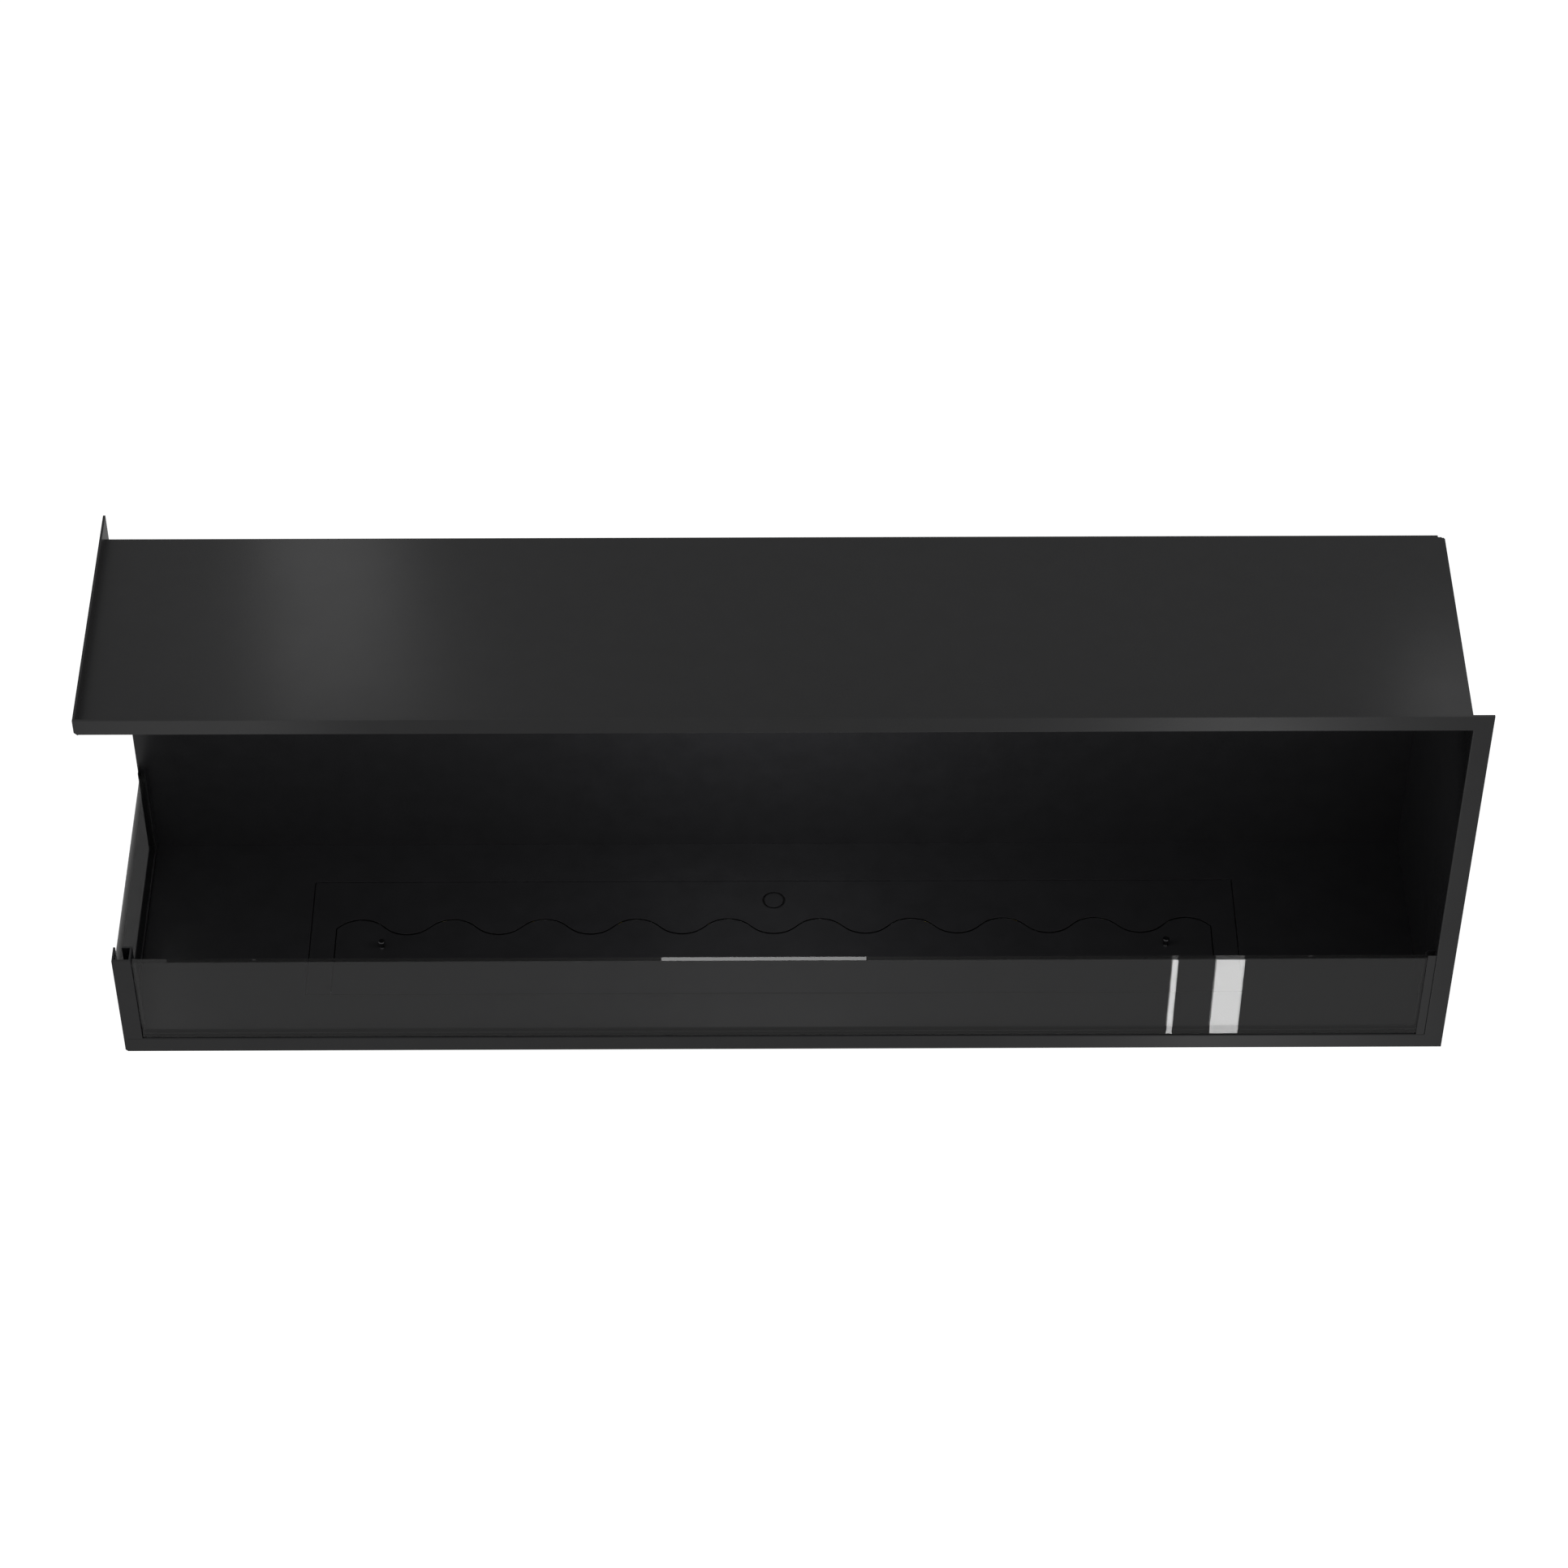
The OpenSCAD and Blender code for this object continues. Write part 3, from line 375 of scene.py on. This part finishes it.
def bevelled(node, width, segments=2):
    """A copy of a CAD node that stands for it, with its sharp edges rounded.
    One segment gives flat arrises instead."""
    mesh = frame["nodes"][node].data.copy()
    bm = bmesh.new()
    bm.from_mesh(mesh)
    bmesh.ops.remove_doubles(bm, verts=bm.verts, dist=MERGE_DISTANCE)
    bmesh.ops.dissolve_limit(bm, angle_limit=FLAT_ANGLE, use_dissolve_boundaries=False,
                             verts=bm.verts, edges=bm.edges, delimit={"NORMAL"})
    bmesh.ops.recalc_face_normals(bm, faces=bm.faces)
    bm.to_mesh(mesh)
    bm.free()
    piece = bpy.data.objects.new(node + "_finished", mesh)
    bpy.context.collection.objects.link(piece)
    bevel = piece.modifiers.new("edges", "BEVEL")
    bevel.width = width
    bevel.segments = segments
    bevel.limit_method = "ANGLE"
    bevel.angle_limit = BEVEL_ANGLE
    bevel.harden_normals = segments > 1
    bevel.use_clamp_overlap = True
    bpy.context.view_layer.update()
    done = bpy.data.meshes.new_from_object(piece.evaluated_get(bpy.context.evaluated_depsgraph_get()))
    piece.modifiers.clear()
    piece.data = done
    done.name = node + "_finished"
    if segments == 1:
        done.shade_flat()
    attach(piece, BODY[node])
    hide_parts(node)


# Widths of the rounded edges in mm
EDGES = {
    "top_panel": 1.0, "back_panel": 0.35, "right_panel": 0.35, "base_pan": 0.3, "corner_post": 0.15,
    "right_glass_channel": 0.12, "rear_glass_channel": 0.12, "front_glass_rail": 0.2, "side_glass_rail": 0.2,
    "rear_plate": 0.2, "front_cover": 0.2, "floor_plate": 0.2,
}
for node, width in EDGES.items():
    bevelled(node, width * MM)
PANE_ARRIS = 0.6 * MM
for node in ("front_glass", "side_glass"):
    bevelled(node, PANE_ARRIS, segments=1)

# ---------------------------------------------------------------- stage and light

FLOOR_GLOW = 1.0
AMBIENT = 0.41


def stage_material():
    n = Nodes("stage_white")
    glow = n.add("Emission", Strength=FLOOR_GLOW)
    paper = n.add("BsdfDiffuse", Color=n.ramp(n.noise(3.0), (0.3, grey(0.2)), (0.7, grey(0.22))))
    both = n.add("AddShader")
    n.put(both, 0, glow.outputs[0])
    n.put(both, 1, paper.outputs[0])
    return n.finish(both.outputs[0])


def stage_floor():
    half = 12.0
    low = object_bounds()[0][2]
    mesh = bpy.data.meshes.new("studio_floor")
    mesh.from_pydata([(-half, -half, low), (half, -half, low), (half, half, low), (-half, half, low)],
                     [], [(0, 1, 2, 3)])
    floor = bpy.data.objects.new("studio_floor", mesh)
    bpy.context.collection.objects.link(floor)
    mesh.materials.append(stage_material())
    # The sweep only backs the object: it isn't mirrored in the panes and shades no light
    floor.visible_glossy = False
    floor.visible_shadow = False
    floor.visible_diffuse = False


stage_floor()


def studio_world():
    """A white backdrop for the camera, and a dimmer light all round for the object."""
    world = bpy.data.worlds.new("studio")
    bpy.context.scene.world = world
    world.use_nodes = True
    nodes, links = world.node_tree.nodes, world.node_tree.links
    nodes.clear()
    mix = nodes.new("ShaderNodeMixShader")
    for slot, strength in ((1, AMBIENT), (2, 1.0)):
        background = nodes.new("ShaderNodeBackground")
        background.inputs["Color"].default_value = (1, 1, 1, 1)
        background.inputs["Strength"].default_value = strength
        links.new(background.outputs[0], mix.inputs[slot])
    links.new(nodes.new("ShaderNodeLightPath").outputs["Is Camera Ray"], mix.inputs[0])
    links.new(mix.outputs[0], nodes.new("ShaderNodeOutputWorld").inputs[0])


studio_world()


def panel_light(name, place, target, size, radiance, mirrored=True):
    """A rectangular light that shines with a stated radiance, and that the camera doesn't see."""
    data = bpy.data.lights.new(name, "AREA")
    data.shape = "RECTANGLE"
    data.size, data.size_y = size
    data.energy = radiance * math.pi * size[0] * size[1]
    light = bpy.data.objects.new(name, data)
    bpy.context.collection.objects.link(light)
    light.location = place
    light.rotation_euler = (Vector(target) - Vector(place)).to_track_quat("-Z", "Y").to_euler()
    light.visible_camera = False
    light.visible_glossy = mirrored


# Two upright strip lights in front, below the sight line, that the front pane mirrors as bright bars.
# MIRROR_Y is the depth that their places were worked out for, 1.8 mm behind the pane's face.
EYE_X, EYE_Y = 686.55, -3061.03
MIRROR_Y = 2.8
STRIP_Y, STRIP_Z = -1200.0, -1000.0
STRIP_HEIGHT = 0.8
STRIP_RADIANCE = 8.3


def mirrored_x(x):
    """Where a light at STRIP_Y stands so that the front pane mirrors it at x."""
    return x + (x - EYE_X) * (MIRROR_Y - STRIP_Y) / (MIRROR_Y - EYE_Y)


for name, x0, x1 in (("strip_narrow", 1112.0, 1118.0), ("strip_wide", 1158.0, 1188.0)):
    left, right = mirrored_x(x0), mirrored_x(x1)
    place = at((left + right) / 2, STRIP_Y, STRIP_Z)
    panel_light(name, place, place + Vector((0, 1, 0)), ((right - left) * MM, STRIP_HEIGHT), STRIP_RADIANCE)

# Two panels back to back inside the firebox, seen as a gleam on the edges of the pane and the flange
GLEAM_SIZE = (0.225, 0.06)
GLEAM_RADIANCE = 4.5
for name, y, way in (("gleam_front", 150.0, -1), ("gleam_back", 152.0, 1)):
    place = at(683.0, y, 303.0)
    panel_light(name, place, place + Vector((0, way, 0)), GLEAM_SIZE, GLEAM_RADIANCE)

# Small panels that the paint mirrors as soft patches: where each is seen, the way to it, how far it
# is, its size and its radiance
PATCHES = {
    "patch_top_left": ((246.0, 175.0, 482.5), (-0.096, 0.718, 0.690), 0.6, (0.16, 0.3), 0.8),
    "patch_top_right": ((1380.0, 36.0, 482.5), (0.157, 0.701, 0.696), 0.5, (0.12, 0.12), 0.85),
    "patch_strip_left": ((125.0, 0.0, 490.0), (-0.127, -0.70, -0.703), 0.5, (0.28, 0.1), 0.6),
}
for name, (seen, way, far, size, radiance) in PATCHES.items():
    panel_light(name, at(*seen) + Vector(way) * far, at(*seen), size, radiance)

# Soft light near the front opening for the wall, the floor and the burner plates: place, target, size
# and radiance
INSIDE = {
    "inside_glow": ((690.0, -5.0, 330.0), (690.0, 281.0, 200.0), (0.18, 0.08), 16.0),
    "inside_fill": ((660.0, 5.0, 400.0), (660.0, 281.0, 120.0), (1.3, 0.1), 3.0),
}
for name, (place, target, size, radiance) in INSIDE.items():
    panel_light(name, at(*place), at(*target), size, radiance, mirrored=False)

bpy.context.scene.view_settings.view_transform = "Standard"
bpy.context.scene.view_settings.look = "None"
